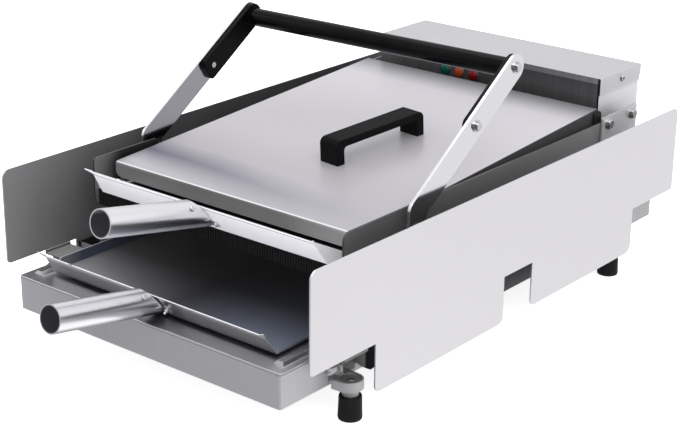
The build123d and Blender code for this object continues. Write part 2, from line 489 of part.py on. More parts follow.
def bail_side(drop):
    """One arm, its leg, the centre of the grip and the centre of the lower bolt, on the +X side."""
    gy = BAIL_R * math.cos(math.radians(BAIL_ANGLE))
    gz = BAIL_R * math.sin(math.radians(BAIL_ANGLE)) - drop
    r = math.hypot(gy, gz)
    ca, sa = gy / r, gz / r
    d_low = D_LOW * r / BAIL_R

    def along(d, w):
        return (LINE_Y + d * ca - w * sa, LINE_Z + d * sa + w * ca)

    # the arm stands upright on its pivot and then leans back
    up_f, up_b, slope = along(0, HALF), along(0, -HALF), sa / ca
    arm_pts = [(BAIL_Y - HALF, BAIL_Z - HALF), (BAIL_Y - HALF, up_f[1] + (BAIL_Y - HALF - up_f[0]) * slope),
               along(r + HALF, HALF), along(r + HALF, -HALF),
               (BAIL_Y + HALF, up_b[1] + (BAIL_Y + HALF - up_b[0]) * slope), (BAIL_Y + HALF, BAIL_Z - HALF)]
    arm = prism("X", arm_pts, ARM_IN, ARM_OUT, [HALF - 0.01, 12.0, HALF - 0.01, HALF - 0.01, 8.0, HALF - 0.01])
    top_c, low_c = along(r, 0), along(d_low, 0)
    arm = cut(arm, cyl("X", BAIL_Y, BAIL_Z, 5.0 + RUN, 173, 178), cyl("X", *top_c, 3.0, 173, 178),
              cyl("X", *low_c, 3.0, 173, 178))
    arm = arm.chamfer(0.3, None, [e for e in arm.edges() if abs(e.center().X - ARM_OUT) < 1e-6 and e.length > 100])
    leg_pts = [along(d_low - 11.5, -HALF), along(d_low - 11.5, HALF - 1.2), along(r + HALF - 0.3, HALF - 1.2),
               along(r + HALF - 0.3, -HALF)]
    leg = prism("X", leg_pts, LEG_IN, ARM_IN, [5.0, 9.0, HALF - 0.7, HALF - 0.7])
    leg = leg.fillet(1.2, [e for e in leg.edges() if abs(e.center().X - LEG_IN) < 1e-6])
    return arm, cut(leg, cyl("X", *low_c, 3.0, 164, 175)), top_c, low_c


arm_r, leg_r, top_r, low_r = bail_side(0.0)
arm_l, leg_l, top_l, low_l = bail_side(BAIL_DROP)
node("bail_arm_right", arm_r)
node("bail_arm_left", mirrored(arm_l))
g0 = Vector(-LEG_IN - 2.0, top_l[0] + 0.6, top_l[1] - 2.0)
g1 = Vector(LEG_IN + 2.0, top_r[0] + 0.6, top_r[1] - 2.0)
tube = Solid.make_cylinder(GRIP_R, (g1 - g0).length, Plane(origin=g0, z_dir=g1 - g0))
grip = fuse(tube, leg_r, mirrored(leg_l))
grip = cut(grip, cyl("X", *top_r, 3.0, 150, 175), cyl("X", *top_l, 3.0, -175, -150))
node("bail_grip", grip)
bolts = []
for s, top_c, low_c in ((-1, top_l, low_l), (1, top_r, low_r)):
    bolts.append(hex_bolt(*top_c, ARM_OUT, 8, 3.2, 6.2, 0.8, 3.0, 150.0, s))
    bolts.append(hex_bolt(*low_c, ARM_OUT, 8, 3.2, 6.2, 0.8, 3.0, LEG_IN - 0.8, s))
node("bail_bolts", bolts)

# ---------------------------------------------------------------- lid
tl = math.tan(math.radians(LID_TILT))


def lid_z(y):
    return LID_ZF + (y - LID_Y0) * tl


outer = prism("X", [(LID_Y0, LID_ZB), (LID_Y0, LID_ZF), (LID_Y1, lid_z(LID_Y1)), (LID_Y1, LID_ZB)], -LID_HW, LID_HW,
              [0, 3.2, 1.6, 0])
inner = prism("X", [(LID_Y0 + SHEET, LID_ZB - 5), (LID_Y0 + SHEET, lid_z(LID_Y0 + SHEET) - SHEET),
                    (LID_Y1 - SHEET, lid_z(LID_Y1 - SHEET) - SHEET),
                    (LID_Y1 - SHEET, LID_ZB - 5)], -LID_HW + SHEET, LID_HW - SHEET, [0, 1.7, 0.5, 0])
lid = cut(outer, inner)
lid = lid.fillet(1.3, [e for e in lid.edges() if abs(abs(e.center().X) - LID_HW) < 1e-6 and e.length > 400
                       and e.center().Z > 160])
for s in (-1, 1):
    keep = cyl("Y", s * (LID_HW - 9.0), LID_ZBF + 9.0, 9.0, LID_Y0 - 1, LID_Y0 + 8.0)
    lid = cut(lid, cut(prism("Y", [(s * (LID_HW + 1), LID_ZB - 1), (s * (LID_HW + 1), LID_ZBF + 9.0),
                                   (s * (LID_HW - 9.0), LID_ZBF + 9.0), (s * (LID_HW - 9.0), LID_ZB - 1)],
                             LID_Y0 - 1, LID_Y0 + 8.0), keep))
lid = cut(lid, box(-LID_HW + 9.0, LID_HW - 9.0, LID_Y0 - 1, LID_Y0 + 8.0, LID_ZB - 1, LID_ZBF))
lid = cut(lid, cyl("X", LIDH_Y, LIDH_Z, 3.0 + RUN, 155, 160), cyl("X", LIDH_Y, LIDH_Z, 3.0 + RUN, -160, -155))
H_Y0, H_Y1, H_X, H_W, H_H, H_TURN = 241.6, 367.6, 32.2, 26.0, 25.8, -6.6
ct, st = math.cos(math.radians(LID_TILT)), math.sin(math.radians(LID_TILT))


def on_lid(s, h):
    return (H_Y0 + s * ct - h * st, lid_z(H_Y0) + s * st + h * ct)


HL = (H_Y1 - H_Y0) / ct
h_mid = on_lid(HL / 2, 0)
H_AXIS = Axis((H_X, h_mid[0], h_mid[1]), (0, -st, ct))
lid_holes = []
hs = []
for s0 in (5.3, HL - 5.3):
    y, z = on_lid(s0, -2.0)
    lid_holes.append(Solid.make_cylinder(2.3, 16, Plane(origin=(H_X, y, z), z_dir=(0, -st, ct))).rotate(H_AXIS, H_TURN))
    yb, zb = on_lid(s0, -SHEET * ct)
    pl = Plane(origin=(H_X, yb, zb), z_dir=(0, -st, ct))
    hs.append(fuse(Solid.make_cylinder(2.3, 14, pl), Solid.make_cylinder(4.4, 2.2, Plane(origin=(H_X, yb + 2.2 * st, zb - 2.2 * ct), z_dir=(0, -st, ct)))).rotate(H_AXIS, H_TURN))
lid = cut(lid, *lid_holes)
node("lid_cover", lid)
node("lid_platen", box(-LID_HW + SHEET, LID_HW - SHEET, LID_Y0 + 9.0, LID_Y1 - SHEET, 148.0, 155.0))
node("lid_heating_elements", serpentine(140, 172, 490, 8, 158.25, 3.25, 528))
node("lid_insulation", prism("X", [(176.0, 161.5), (520.0, 161.5), (520.0, 181.2), (176.0, 162.4)], -156.0, 156.0))

hp = [on_lid(0, 0), on_lid(0, H_H), on_lid(HL, H_H), on_lid(HL, 0), on_lid(HL - 10.6, 0), on_lid(HL - 10.6, H_H - 8.0),
      on_lid(10.6, H_H - 8.0), on_lid(10.6, 0)]
handle = prism("X", hp, H_X - H_W / 2, H_X + H_W / 2, [0, 7.0, 7.0, 0, 0, 4.0, 4.0, 0])
handle = handle.fillet(1.5, [e for e in handle.edges() if abs(abs(e.center().X - H_X) - H_W / 2) < 1e-6 and
                             e.center().Z > lid_z(e.center().Y) + 17])
handle = cut(handle, *[Solid.make_cylinder(2.3, 12.5, Plane(origin=(H_X, *on_lid(s0, 0)), z_dir=(0, -st, ct))) for s0 in (5.3, HL - 5.3)])
handle = handle.rotate(H_AXIS, H_TURN)
node("lid_handle", handle)
node("lid_handle_screws", hs)


# ---------------------------------------------------------------- trays
def tray(name, yf, zf, tip, y_back, wall_l, wall_r, axis_a, axis_b, top_r, corner):
    """Pan with a slanted front lip; wall_l and wall_r are the side wall outlines in (y, z)."""
    ly, lz = tip[0] - yf, tip[1] - zf
    ln = math.hypot(ly, lz)
    ly, lz = ly / ln, lz / ln
    ny, nz = lz, -ly                      # normal of the lip towards the pan
    floor = box(-TRAY_HW, TRAY_HW, yf, y_back, zf, zf + TRAY_T)
    walls_lr = [prism("X", wall_l, -TRAY_HW, -TRAY_HW + TRAY_T), prism("X", wall_r, TRAY_HW - TRAY_T, TRAY_HW)]

    def lipbox(x0, x1, l0, l1, t0, t1):
        p0 = (yf + ly * l0 + ny * t0, zf + lz * l0 + nz * t0)
        p1 = (yf + ly * l1 + ny * t0, zf + lz * l1 + nz * t0)
        p2 = (yf + ly * l1 + ny * t1, zf + lz * l1 + nz * t1)
        p3 = (yf + ly * l0 + ny * t1, zf + lz * l0 + nz * t1)
        return prism("X", [p0, p1, p2, p3], x0, x1)

    # lip with a hem; both ends stand above the hem and the left one runs out into a thin horn
    fy, fz = yf + ly * (ln - 6.3), zf + lz * (ln - 6.3)
    k = math.radians(8)
    dy, dz = ly * math.cos(k) + ny * math.sin(k), lz * math.cos(k) + nz * math.sin(k)
    ey, ez = dz, -dy
    top_y, top_z = fy + dy * 6.3, fz + dz * 6.3
    lip = prism("X", [(yf, zf), (fy, fz), (top_y, top_z), (top_y + ey * TRAY_T, top_z + ez * TRAY_T),
                      (fy + ny * TRAY_T, fz + nz * TRAY_T), (yf + ny * TRAY_T, zf + nz * TRAY_T)], -150.0, TRAY_HW,
                [0, 0.9, 0.3, 0.3, 0, 0])
    frame = Plane(origin=(0, yf, zf), x_dir=(1, 0, 0), z_dir=(0, ny, nz))
    flip = 1.0 if frame.y_dir.Z > 0 else -1.0

    def in_lip(pts, t0, t1):
        face = Face(Wire.make_polygon([tuple(frame.from_local_coords(Vector(px, flip * pl, t0))) for px, pl in pts]))
        return Solid.extrude(face, Vector(0, ny, nz) * (t1 - t0))

    lip = cut(lip, in_lip([(-153, -2), (-TRAY_HW, -2), (-TRAY_HW, 0.6), (-139.2, ln - 4.2), (-149.4, ln - 0.9), (-153, ln - 0.9)], -3, 5),
              in_lip([(-139.2, ln + 5), (-139.2, ln - 1.8), (top_r, ln - 3.4), (TRAY_HW, ln - corner),
                      (TRAY_HW + 3, ln - corner), (TRAY_HW + 3, ln + 5)], -3, 5))
    bump = in_lip([(-109.0, ln - 3.6), (-102.4, ln - 0.2), (-100.0, ln - 3.6)], 0.9, 1.7)
    pan = fuse(floor, *walls_lr, lip, bump)
    # tube handle cut to the outer face of the lip
    ay, az = axis_b[0] - axis_a[0], axis_b[1] - axis_a[1]
    al = math.hypot(ay, az)
    ay, az = ay / al, az / al
    start = (axis_a[0] - ay * 26, axis_a[1] - az * 26)
    length = al + 26
    tb = cut(Solid.make_cylinder(TUBE_R, length, Plane(origin=(0, *start), z_dir=(0, ay, az))),
             Solid.make_cylinder(TUBE_BORE, length + 2, Plane(origin=(0, start[0] - ay, start[1] - az), z_dir=(0, ay, az))))
    back = prism("X", [(yf - ly * 60 - ny * 1.2, zf - lz * 60 - nz * 1.2), (yf + ly * 120 - ny * 1.2, zf + lz * 120 - nz * 1.2),
                       (yf + ly * 120 + ny * 80, zf + lz * 120 + nz * 80), (yf - ly * 60 + ny * 80, zf - lz * 60 + nz * 80)], -40, 40)
    tb = cut(tb, back)
    # strap that ties the tube to the lip, with a bolt on each side of the tube
    l0 = ln * 0.32
    foot = lipbox(-20.5, 20.5, l0 - 4.2, l0 + 4.2, -1.2, 0)
    # screw on the flank of the tube near the lip
    up = (az, -ay)
    flank = math.radians(54.0)
    rad = (math.sin(flank), math.cos(flank) * up[0], math.cos(flank) * up[1])
    mid = (axis_a[0] + ay * 21, axis_a[1] + az * 21)
    seat = Vector(rad[0] * (TUBE_R - 0.4), mid[0] + rad[1] * (TUBE_R - 0.4), mid[1] + rad[2] * (TUBE_R - 0.4))
    head = Solid.make_cylinder(2.7, 1.9, Plane(origin=seat, z_dir=rad))
    head = head.fillet(0.8, [e for e in head.edges() if abs((e.center() - seat).dot(Vector(*rad)) - 1.9) < 1e-4])
    shank = Solid.make_cylinder(1.5, 5.2, Plane(origin=seat - Vector(*rad) * 5, z_dir=rad))
    slot = Solid.make_box(6.4, 0.8, 3, Plane(origin=seat + Vector(*rad) * 1.2, x_dir=(0, ay, az), z_dir=rad)
                          .move(Location((0, -3.2 * ay, -3.2 * az))))
    screw = fuse(cut(head, slot), shank)
    tb = cut(tb, fuse(head, shank))
    fast = [screw]
    for bx in (-17.2, 17.2):
        c = (yf + ly * l0 - ny * 1.2, zf + lz * l0 - nz * 1.2)
        r6 = 2.5
        nut = Plane(origin=(bx, *c), z_dir=(0, -ny, -nz)).location * Solid.extrude(
            Face(Wire.make_polygon([(r6 * math.cos(math.radians(60 * q)), r6 * math.sin(math.radians(60 * q)), 0) for q in range(6)])), Vector(0, 0, 1.9))
        tail = Solid.make_cylinder(1.5, 8.4, Plane(origin=(bx, c[0] + ny * 4.0, c[1] + nz * 4.0), z_dir=(0, -ny, -nz)))
        cap = Solid.make_cylinder(3.0, 1.8, Plane(origin=(bx, c[0] + ny * 4.0, c[1] + nz * 4.0), z_dir=(0, -ny, -nz)))
        fast.append(fuse(nut, tail, cap))
        drill = Solid.make_cylinder(1.5, 12, Plane(origin=(bx, c[0] + ny * 6.0, c[1] + nz * 6.0), z_dir=(0, -ny, -nz)))
        pan = cut(pan, drill)
        foot = cut(foot, drill)
    node(name, pan)
    node(name + "_handle", fuse(tb, foot))
    node(name + "_fasteners", fast)


tray("lower_tray", 23.6, 74.5, (5.0, 99.3), 530.0,
     [(24.4, 75.0), (21.9, 78.6), (33.0, 86.6), (530.0, 86.6), (530.0, 75.0)],
     [(24.4, 75.0), (25.6, 76.7), (530.0, 76.7), (530.0, 75.0)],
     (13.1, 88.5), (-109.3, 110.7), 140.5, 0.2)
tray("upper_tray", 92.9, 139.6, (71.0, 168.6), 525.0,
     [(93.3, 140.0), (92.0, 142.0), (525.0, 142.0), (525.0, 140.0)],
     [(93.3, 140.0), (74.0, 165.6), (75.2, 166.2), (115.6, 145.4), (121.5, 142.0), (525.0, 142.0), (525.0, 140.0)],
     (78.2, 157.1), (-45.9, 182.0), 143.6, 1.3)

# ---------------------------------------------------------------- place and write
lo = [1e9] * 3
hi = [-1e9] * 3
for shapes in NODES.values():
    for s in shapes:
        b = s.bounding_box(optimal=True)
        for k, (mn, mx) in enumerate(zip(b.min, b.max)):
            lo[k], hi[k] = min(lo[k], mn), max(hi[k], mx)
y_mid = round((lo[1] + hi[1]) / 2, 3)
print("extent", [round(v, 3) for v in lo], [round(v, 3) for v in hi], "shift", y_mid)
for name, shapes in NODES.items():
    placed = [s.moved(Location((0, -y_mid, 0))) for s in shapes]
    whole = placed[0] if len(placed) == 1 else Compound(placed)
    export_step(whole, os.path.join("parts", name + ".step"))
    print(name, len(placed), round(sum(s.volume for s in placed), 1))
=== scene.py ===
import bpy
import bmesh
import math
from mathutils import Matrix, Vector

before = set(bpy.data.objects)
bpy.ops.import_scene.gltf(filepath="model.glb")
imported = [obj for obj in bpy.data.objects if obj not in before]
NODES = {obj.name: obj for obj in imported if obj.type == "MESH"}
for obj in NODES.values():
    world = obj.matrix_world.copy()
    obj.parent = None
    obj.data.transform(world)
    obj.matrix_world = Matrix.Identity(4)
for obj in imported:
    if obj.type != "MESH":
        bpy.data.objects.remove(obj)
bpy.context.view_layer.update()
scene = bpy.context.scene

YM = 0.270673          # distance from the front of the base to the origin, in metres


def mm(x, y, z):
    """Point given in millimetres from the front of the base, as the CAD lays it out."""
    return Vector((x / 1000.0, y / 1000.0 - YM, z / 1000.0))


# ------------------------------------------------------------------ camera
def make_camera():
    az, el, roll = map(math.radians, (39.15, 20.51, 0.63))
    fwd = Vector((-math.sin(az) * math.cos(el), math.cos(az) * math.cos(el), -math.sin(el)))
    right = Vector((math.cos(az), math.sin(az), 0.0))
    up = right.cross(fwd)
    r2 = right * math.cos(roll) + up * math.sin(roll)
    u2 = -right * math.sin(roll) + up * math.cos(roll)
    data = bpy.data.cameras.new("camera")
    data.sensor_width = 36.0
    data.lens = 88.38
    data.clip_start, data.clip_end = 0.05, 50.0
    cam = bpy.data.objects.new("camera", data)
    scene.collection.objects.link(cam)
    m = Matrix((r2, u2, -fwd)).transposed().to_4x4()
    m.translation = Vector((1.0393, -0.9852 - YM, 0.7136))
    cam.matrix_world = m
    scene.camera = cam


make_camera()


# ------------------------------------------------------------------ material building blocks
class Mat:
    """A small wrapper that builds a node tree and joins sockets by name."""

    def __init__(self, name):
        self.m = bpy.data.materials.new(name)
        self.m.use_nodes = True
        self.t = self.m.node_tree
        self.t.nodes.clear()
        self.out = self.n("ShaderNodeOutputMaterial")
        self.b = self.n("ShaderNodeBsdfPrincipled")
        self.link(self.b.outputs[0], self.out.inputs[0])
        self.co = self.n("ShaderNodeTexCoord").outputs["Object"]

    def n(self, kind, **props):
        node = self.t.nodes.new(kind)
        for k, v in props.items():
            setattr(node, k, v)
        return node

    def link(self, a, b):
        self.t.links.new(a, b)

    def mapped(self, scale, rot=(0, 0, 0), loc=(0, 0, 0)):
        mp = self.n("ShaderNodeMapping")
        mp.inputs["Scale"].default_value = scale
        mp.inputs["Rotation"].default_value = rot
        mp.inputs["Location"].default_value = loc
        self.link(self.co, mp.inputs["Vector"])
        return mp.outputs[0]

    def noise(self, vec, scale, detail=3.0, rough=0.55, dist=0.0):
        nz = self.n("ShaderNodeTexNoise")
        nz.inputs["Scale"].default_value = scale
        nz.inputs["Detail"].default_value = detail
        nz.inputs["Roughness"].default_value = rough
        nz.inputs["Distortion"].default_value = dist
        self.link(vec, nz.inputs["Vector"])
        return nz.outputs["Fac"]

    def remap(self, val, a, b, c, d):
        mr = self.n("ShaderNodeMapRange")
        for i, v in zip(range(1, 5), (a, b, c, d)):
            mr.inputs[i].default_value = v
        self.link(val, mr.inputs[0])
        return mr.outputs[0]

    def math(self, op, a, b=None, clamp=False):
        mt = self.n("ShaderNodeMath", operation=op, use_clamp=clamp)
        for i, v in enumerate((a, b)):
            if v is None:
                continue
            if isinstance(v, (int, float)):
                mt.inputs[i].default_value = v
            else:
                self.link(v, mt.inputs[i])
        return mt.outputs[0]

    def mix(self, fac, a, b):
        mx = self.n("ShaderNodeMix", data_type="RGBA")
        for sock, v in ((mx.inputs[0], fac), (mx.inputs[6], a), (mx.inputs[7], b)):
            if isinstance(v, (int, float)):
                sock.default_value = v
            elif isinstance(v, (tuple, list)):
                sock.default_value = (*v[:3], 1.0)
            else:
                self.link(v, sock)
        return mx.outputs[2]

    def part(self, vec, axis):
        """One component of a vector output."""
        sep = self.n("ShaderNodeSeparateXYZ")
        self.link(vec, sep.inputs[0])
        return sep.outputs["XYZ".index(axis)]

    def tint(self, spec):
        """A plain colour, a run of colours along an axis ("Y", ((pos, colour), ...)), or ("*", spec, spec)."""
        if not isinstance(spec[0], str):
            return spec
        if spec[0] == "*":
            vm = self.n("ShaderNodeVectorMath", operation="MULTIPLY")
            for i in (0, 1):
                c = self.tint(spec[1 + i])
                if isinstance(c, tuple):
                    vm.inputs[i].default_value = c
                else:
                    self.link(c, vm.inputs[i])
            return vm.outputs[0]
        pos = self.part(self.co, spec[0])
        col = self.tint(spec[1][0][1])
        for (p0, _), (p1, c1) in zip(spec[1], spec[1][1:]):
            col = self.mix(self.remap(pos, p0, p1, 0, 1), col, self.tint(c1))
        return col

    def facing(self, sign, axis, lo=0.45, hi=0.75):
        """1 on faces whose own normal looks along the signed axis, 0 elsewhere."""
        if not hasattr(self, "nrm"):
            self.nrm = self.n("ShaderNodeTexCoord").outputs["Normal"]
        return self.remap(self.math("MULTIPLY", self.part(self.nrm, axis), sign), lo, hi, 0, 1)

    def scaled(self, col, fac):
        vm = self.n("ShaderNodeVectorMath", operation="SCALE")
        if isinstance(col, (tuple, list)):
            vm.inputs[0].default_value = col[:3]
        else:
            self.link(col, vm.inputs[0])
        self.link(fac, vm.inputs["Scale"])
        return vm.outputs[0]

    def bevel(self, radius, samples=4):
        bv = self.n("ShaderNodeBevel")
        bv.samples = samples
        bv.inputs["Radius"].default_value = radius
        return bv.outputs[0]

    def edge(self, bevel_out, gain=6.0):
        """0 on flat faces, 1 on sharp outer and inner edges."""
        geo = self.n("ShaderNodeNewGeometry")
        dot = self.n("ShaderNodeVectorMath", operation="DOT_PRODUCT")
        self.link(bevel_out, dot.inputs[0])
        self.link(geo.outputs["Normal"], dot.inputs[1])
        return self.remap(dot.outputs["Value"], 1.0, 1.0 - 1.0 / gain, 0.0, 1.0)

    def bump(self, height, strength, distance, normal=None):
        bp = self.n("ShaderNodeBump")
        bp.inputs["Strength"].default_value = strength
        bp.inputs["Distance"].default_value = distance
        self.link(height, bp.inputs["Height"])
        if normal is not None:
            self.link(normal, bp.inputs["Normal"])
        return bp.outputs[0]


AXIS_SCALE = {"X": (0.02, 1.0, 1.0), "Y": (1.0, 0.02, 1.0), "Z": (1.0, 1.0, 0.02)}


def metal(name, color, rough=0.3, grain="Y", grain_amt=0.4, bevel=0.0004, mottled=0.015, edge_gain=1.06, scratches=0.0,
          metallic=1.0, fine=2600.0, rough_var=0.05, smear=0.0, faces=(), bore=None, band=None, streak=0.0, lift=(), rim=None, streak_front=0.0):
    """Sheet or bar metal: drawn grain, faint polish clouds, edges painted slightly brighter as a painted highlight,
    optional stray scratches.

    faces holds (sign, axis, colour or colour run, metallic) for sides given their own colour, painted light and shade
    per side, bore the axis and radius of a tube's inside, painted mid-grey with a faint painted glow, band a soft
    darker sweep over the top that is a painted reflection, streak the strength of broad drawn streaks, lift ((sign,
    axis, strength), ...) a faint painted glow on a side standing in for light from the pale surroundings, rim a
    painted highlight line along the front bend, streak_front stronger streaks on the front.
    """
    k = Mat(name)
    vec = k.mapped(AXIS_SCALE[grain])
    line = k.noise(vec, fine, 4.0, 0.6)
    broad = k.noise(vec, fine / 9.0, 3.0, 0.5)
    cloud = k.noise(k.co, 7.0, 2.0, 0.5, 0.2)
    grime = k.noise(k.co, 38.0, 5.0, 0.6)
    bev = k.bevel(bevel)
    edge = k.edge(bev)
    col = k.tint(color)
    met = None
    # painted light and shade: each listed side gets its own colour or colour run and its own metallic
    for sign, axis, c, m in faces:
        mask = k.facing(sign, axis)
        col = k.mix(mask, col, k.tint(c))
        if met is None:
            met = k.remap(mask, 0, 1, metallic, m)
        else:
            inv = k.math("SUBTRACT", 1.0, mask)
            met = k.math("ADD", k.math("MULTIPLY", met, inv), k.math("MULTIPLY", mask, m))
    # painted glow: the inside of the tube is painted mid-grey and given a faint glow in place of the light that
    # reaches into it
    if bore:
        (y0, z0), (y1, z1), rad = bore
        ln = math.hypot(y1 - y0, z1 - z0)
        off = k.math("SUBTRACT", k.math("MULTIPLY", k.math("SUBTRACT", k.part(k.co, "Z"), z0), (y1 - y0) / ln),
                     k.math("MULTIPLY", k.math("SUBTRACT", k.part(k.co, "Y"), y0), (z1 - z0) / ln))
        px = k.part(k.co, "X")
        dist = k.math("SQRT", k.math("ADD", k.math("MULTIPLY", px, px), k.math("MULTIPLY", off, off)))
        inside = k.remap(dist, rad + 0.0002, rad + 0.0005, 1, 0)
        col = k.mix(inside, col, g(0.30))
        k.b.inputs["Emission Color"].default_value = (0.85, 0.87, 1.0, 1.0)
        k.link(k.math("MULTIPLY", inside, 0.019), k.b.inputs["Emission Strength"])
    # painted glow on the listed sides, standing in for light thrown back by the pale surroundings
    if lift:
        k.b.inputs["Emission Color"].default_value = (0.97, 0.97, 1.0, 1.0)
        total = None
        for sign, axis, amount in lift:
            v = k.math("MULTIPLY", k.facing(sign, axis), amount)
            total = v if total is None else k.math("ADD", total, v)
        k.link(total, k.b.inputs["Emission Strength"])
    # painted highlight: a pale line on the faces of the front bend
    if rim:
        ridge = k.math("MULTIPLY", k.facing(-1, "Y", 0.34, 0.46), k.facing(1, "Z", 0.62, 0.74))
        col = k.mix(ridge, col, rim)
    # painted reflection: a soft dark bluish diagonal sweep over the top faces, strongest at the left end
    if band:
        u = k.math("ADD", k.part(k.co, "X"), 0.15)
        mid = k.math("SUBTRACT", band[0], k.math("MULTIPLY", u, band[1]))
        wob = k.math("MULTIPLY", k.math("SUBTRACT", cloud, 0.5), 0.02)
        d = k.math("ABSOLUTE", k.math("ADD", k.math("SUBTRACT", k.part(k.co, "Y"), mid), wob))
        fall = k.math("MULTIPLY", k.remap(d, 0.0, band[2], 1, 0), k.remap(u, 0.0, band[3], band[4], 0))
        fall = k.math("MULTIPLY", fall, k.facing(1, "Z"))
        col = k.mix(fall, col, (0.12, 0.12, 0.17))
    gain = k.remap(cloud, 0.3, 0.7, 1 - mottled, 1 + mottled)
    gain = k.math("SUBTRACT", gain, k.math("MULTIPLY", k.remap(line, 0.35, 0.65, 0, 1), 0.05 * grain_amt))
    # edges painted brighter by edge_gain, a painted highlight
    gain = k.math("ADD", gain, k.math("MULTIPLY", edge, edge_gain - 1.0))
    if streak:
        wide = k.noise(vec, 240.0, 4.0, 0.6)
        gain = k.math("ADD", gain, k.remap(wide, 0.3, 0.7, -streak, streak))
    if streak_front:
        coarse = k.remap(k.noise(vec, 130.0, 3.0, 0.6), 0.3, 0.7, -streak_front, streak_front)
        gain = k.math("ADD", gain, k.math("MULTIPLY", coarse, k.facing(-1, "Y")))
    k.link(k.scaled(col, gain), k.b.inputs["Base Color"])
    r = k.remap(line, 0.3, 0.7, rough - rough_var * 0.5 * grain_amt, rough + rough_var * 0.5 * grain_amt)
    r = k.math("ADD", r, k.remap(cloud, 0.3, 0.7, -rough_var * 0.4, rough_var * 0.4))
    r = k.math("ADD", r, k.remap(grime, 0.5, 0.8, 0.0, rough_var * 0.6 + smear), True)
    k.link(r, k.b.inputs["Roughness"])
    h = k.math("ADD", k.math("MULTIPLY", line, 0.7), k.math("MULTIPLY", broad, 0.3))
    if scratches:
        rot = k.mapped((0.05, 1.0, 1.0), rot=(0.3, 0.5, 0.7))
        sc = k.noise(rot, 900.0, 1.0, 0.5)
        cut_ = k.remap(sc, 0.70, 0.74, 0.0, scratches)
        h = k.math("SUBTRACT", h, cut_)
    k.link(k.bump(h, 0.002 + 0.1 * grain_amt, 0.00004, bev), k.b.inputs["Normal"])
    if met is None:
        k.b.inputs["Metallic"].default_value = metallic
        k.b.inputs["Specular IOR Level"].default_value = 0.2 + 0.3 * metallic
    else:
        k.link(met, k.b.inputs["Metallic"])
        k.link(k.remap(met, 0.0, 0.5, 0.04, 0.4), k.b.inputs["Specular IOR Level"])
    return k.m


def g(v, blue=0.015):
    """Neutral metal colour with a touch of blue."""
    return (v, v, v * (1 + blue))


def ym(y):
    """Object coordinate along the depth for a distance in millimetres from the front of the base."""
    return y / 1000.0 - YM


def plastic(name, color, rough=0.42, bevel=0.0008, pit=0.4, spec=0.5, coat=0.0):
    """Moulded plastic: fine spark-eroded texture, rubbed lighter edges, uneven sheen."""
    k = Mat(name)
    pitn = k.noise(k.co, 2400.0, 2.0, 0.6)
    cloud = k.noise(k.co, 22.0, 4.0, 0.55)
    bev = k.bevel(bevel)
    edge = k.edge(bev, 5.0)
    dark = tuple(c * 0.85 for c in color)
    light = tuple(min(1.0, c * 1.15 + 0.002) for c in color)
    col = k.mix(k.remap(cloud, 0.3, 0.7, 0, 1), dark, light)
    worn = tuple(min(1.0, c * 1.6 + 0.012) for c in color)
    col = k.mix(k.math("MULTIPLY", edge, 0.6, True), col, worn)
    k.link(col, k.b.inputs["Base Color"])
    r = k.math("ADD", k.remap(cloud, 0.3, 0.7, rough - 0.05, rough + 0.06), k.remap(pitn, 0.3, 0.7, -0.03, 0.03), True)
    k.link(r, k.b.inputs["Roughness"])
    k.link(k.bump(pitn, pit, 0.00004, bev), k.b.inputs["Normal"])
    k.b.inputs["Specular IOR Level"].default_value = spec
    k.b.inputs["Coat Weight"].default_value = coat
    return k.m


def rubber(name, color):
    k = Mat(name)
    speck = k.noise(k.co, 1500.0, 3.0, 0.65)
    dust = k.noise(k.co, 60.0, 5.0, 0.6)
    bev = k.bevel(0.0007)
    edge = k.edge(bev, 5.0)
    sep = k.n("ShaderNodeSeparateXYZ")
    k.link(k.co, sep.inputs[0])
    low = k.remap(sep.outputs["Z"], 0.0, 0.008, 1.0, 0.0)
    col = k.mix(k.math("MULTIPLY", k.remap(dust, 0.45, 0.8, 0, 1), 0.5), color, tuple(c * 1.7 + 0.008 for c in color))
    col = k.mix(k.math("MULTIPLY", k.math("ADD", edge, k.math("MULTIPLY", low, 0.4)), 0.35, True), col, (0.03, 0.03, 0.03))
    k.link(col, k.b.inputs["Base Color"])
    k.link(k.remap(dust, 0.3, 0.75, 0.52, 0.72), k.b.inputs["Roughness"])
    k.link(k.bump(speck, 0.35, 0.00006, bev), k.b.inputs["Normal"])
    k.b.inputs["Specular IOR Level"].default_value = 0.15
    return k.m


def lens(name, color, glow):
    """Ribbed translucent lamp lens."""
    k = Mat(name)
    sep = k.n("ShaderNodeSeparateXYZ")
    k.link(k.co, sep.inputs[0])
    ribs = k.math("SINE", k.math("MULTIPLY", sep.outputs["X"], 5200.0))
    cloud = k.noise(k.co, 500.0, 2.0, 0.5)
    bev = k.bevel(0.0004)
    col = k.mix(k.remap(cloud, 0.35, 0.65, 0, 1), tuple(c * 0.8 for c in color), tuple(min(1.0, c * 1.2) for c in color))
    k.link(col, k.b.inputs["Base Color"])
    k.link(k.remap(cloud, 0.3, 0.7, 0.06, 0.12), k.b.inputs["Roughness"])
    k.link(k.bump(ribs, 0.35, 0.00008, bev), k.b.inputs["Normal"])
    k.b.inputs["Specular IOR Level"].default_value = 0.25
    k.b.inputs["Emission Color"].default_value = (*color, 1.0)
    k.b.inputs["Emission Strength"].default_value = glow
    return k.m


def wool(name):
    k = Mat(name)
    fib = k.noise(k.mapped((1.0, 0.25, 1.6)), 900.0, 6.0, 0.7, 1.2)
    clump = k.noise(k.co, 70.0, 4.0, 0.6, 0.8)
    col = k.mix(k.remap(clump, 0.3, 0.7, 0, 1), (0.62, 0.58, 0.48), (0.80, 0.78, 0.70))
    col = k.mix(k.math("MULTIPLY", k.remap(fib, 0.4, 0.7, 0, 1), 0.5), col, (0.9, 0.88, 0.82))
    k.link(col, k.b.inputs["Base Color"])
    k.b.inputs["Roughness"].default_value = 0.95
    k.link(k.bump(k.math("ADD", fib, clump), 0.9, 0.0006), k.b.inputs["Normal"])
    return k.m


def set_mat(material, *names):
    for n in names:
        o = NODES[n]
        if not o.material_slots:
            o.data.materials.append(material)
        for s in o.material_slots:
            s.material = material
